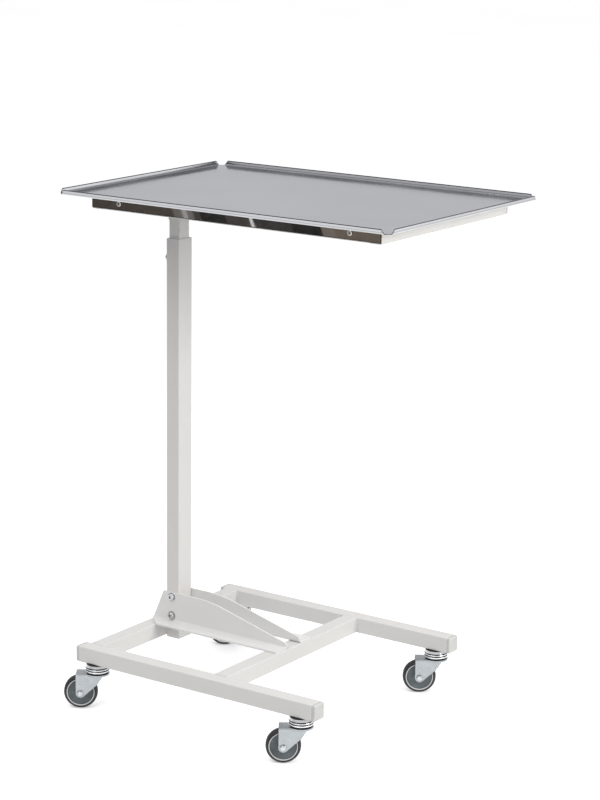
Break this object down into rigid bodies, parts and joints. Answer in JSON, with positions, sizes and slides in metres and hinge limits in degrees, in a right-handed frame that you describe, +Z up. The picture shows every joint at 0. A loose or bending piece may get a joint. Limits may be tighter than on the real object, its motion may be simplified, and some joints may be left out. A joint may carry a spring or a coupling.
{
  "type": "overbed table",
  "caption": "Wheeled C-shaped overbed table: shallow lipped steel tray on a height-adjustable offset post, with clamp screw and swivel casters.",
  "frame": {"origin": "bottom centre of the bounding box of the whole table, on the floor", "axes": "+Z up; +X along the base rails from the post towards the open end of the C; +Y across the rails"},
  "size_m": [0.71, 0.5154, 0.9727],
  "materials": {
    "frame_paint": "smooth off-white powder coat",
    "cap_plastic": "moulded light grey plastic",
    "bolt_steel": "zinc plated steel",
    "tray_steel": "polished stainless sheet",
    "strip_steel": "mirror stainless strip",
    "race_chrome": "bright plated",
    "fork_zinc": "bright zinc plated pressing",
    "hub_plastic": "moulded grey plastic",
    "guard_plastic": "dark grey plastic",
    "tyre_rubber": "soft black rubber"
  },
  "bodies": {
    "base": {"side_rail_near": "frame_paint", "side_rail_far": "frame_paint", "cross_tube_post": "frame_paint", "cross_tube_mid": "frame_paint", "rail_end_caps": "cap_plastic", "gusset_near": "frame_paint", "gusset_far": "frame_paint", "post_bolts": "bolt_steel", "post_washers": "bolt_steel", "post_nuts": "bolt_steel", "outer_post": "frame_paint", "post_plug": "cap_plastic", "guide_sleeve": "cap_plastic", "clamp_boss": "frame_paint", "caster_stems": "race_chrome", "caster_stem_nuts": "bolt_steel"},
    "top": {"inner_post": "frame_paint", "post_socket": "frame_paint", "foot_glide": "cap_plastic", "head_plate": "frame_paint", "head_plate_bolts": "bolt_steel", "head_plate_nuts": "bolt_steel", "frame_left_tube": "frame_paint", "frame_right_tube": "frame_paint", "frame_near_tube": "frame_paint", "frame_far_tube": "frame_paint", "frame_bars": "frame_paint", "tray": "tray_steel", "strip_near": "strip_steel", "strip_far": "strip_steel", "strip_screws": "bolt_steel"},
    "clamp": {"clamp_screw": "bolt_steel"},
    "caster_near_left": {"caster_near_left_fork": "fork_zinc", "caster_near_left_race": "race_chrome", "caster_near_left_axle": "bolt_steel", "caster_near_left_axle_nut": "bolt_steel"},
    "wheel_near_left": {"caster_near_left_hub": "hub_plastic", "caster_near_left_guards": "guard_plastic", "caster_near_left_tyre": "tyre_rubber"},
    "caster_near_right": {"caster_near_right_fork": "fork_zinc", "caster_near_right_race": "race_chrome", "caster_near_right_axle": "bolt_steel", "caster_near_right_axle_nut": "bolt_steel"},
    "wheel_near_right": {"caster_near_right_hub": "hub_plastic", "caster_near_right_guards": "guard_plastic", "caster_near_right_tyre": "tyre_rubber"},
    "caster_far_left": {"caster_far_left_fork": "fork_zinc", "caster_far_left_race": "race_chrome", "caster_far_left_axle": "bolt_steel", "caster_far_left_axle_nut": "bolt_steel"},
    "wheel_far_left": {"caster_far_left_hub": "hub_plastic", "caster_far_left_guards": "guard_plastic", "caster_far_left_tyre": "tyre_rubber"},
    "caster_far_right": {"caster_far_right_fork": "fork_zinc", "caster_far_right_race": "race_chrome", "caster_far_right_axle": "bolt_steel", "caster_far_right_axle_nut": "bolt_steel"},
    "wheel_far_right": {"caster_far_right_hub": "hub_plastic", "caster_far_right_guards": "guard_plastic", "caster_far_right_tyre": "tyre_rubber"}
  },
  "joints": [
    {"name": "height_slide", "type": "slide", "parent": "base", "child": "top", "axis": [0, 0, 1], "range_m": [-0.03, 0.25]},
    {"name": "clamp_turn", "type": "hinge", "parent": "base", "child": "clamp", "pos_m": [-0.2875, 0.00995, 0.822], "axis": [-1, 0, 0], "range_deg": [0, 180]},
    {"name": "near_left_swivel", "type": "hinge", "parent": "base", "child": "caster_near_left", "pos_m": [-0.286, -0.21505, 0.0685], "axis": [0, 0, 1], "continuous": true},
    {"name": "near_left_roll", "type": "hinge", "parent": "caster_near_left", "child": "wheel_near_left", "pos_m": [-0.31149, -0.2327, 0.03175], "axis": [0.5693, -0.8221, 0], "continuous": true},
    {"name": "near_right_swivel", "type": "hinge", "parent": "base", "child": "caster_near_right", "pos_m": [0.177, -0.21505, 0.0685], "axis": [0, 0, 1], "continuous": true},
    {"name": "near_right_roll", "type": "hinge", "parent": "caster_near_right", "child": "wheel_near_right", "pos_m": [0.15151, -0.2327, 0.03175], "axis": [0.5693, -0.8221, 0], "continuous": true},
    {"name": "far_left_swivel", "type": "hinge", "parent": "base", "child": "caster_far_left", "pos_m": [-0.286, 0.23495, 0.0685], "axis": [0, 0, 1], "continuous": true},
    {"name": "far_left_roll", "type": "hinge", "parent": "caster_far_left", "child": "wheel_far_left", "pos_m": [-0.31149, 0.2173, 0.03175], "axis": [0.5693, -0.8221, 0], "continuous": true},
    {"name": "far_right_swivel", "type": "hinge", "parent": "base", "child": "caster_far_right", "pos_m": [0.177, 0.23495, 0.0685], "axis": [0, 0, 1], "continuous": true},
    {"name": "far_right_roll", "type": "hinge", "parent": "caster_far_right", "child": "wheel_far_right", "pos_m": [0.15151, 0.2173, 0.03175], "axis": [0.5693, -0.8221, 0], "continuous": true}
  ]
}
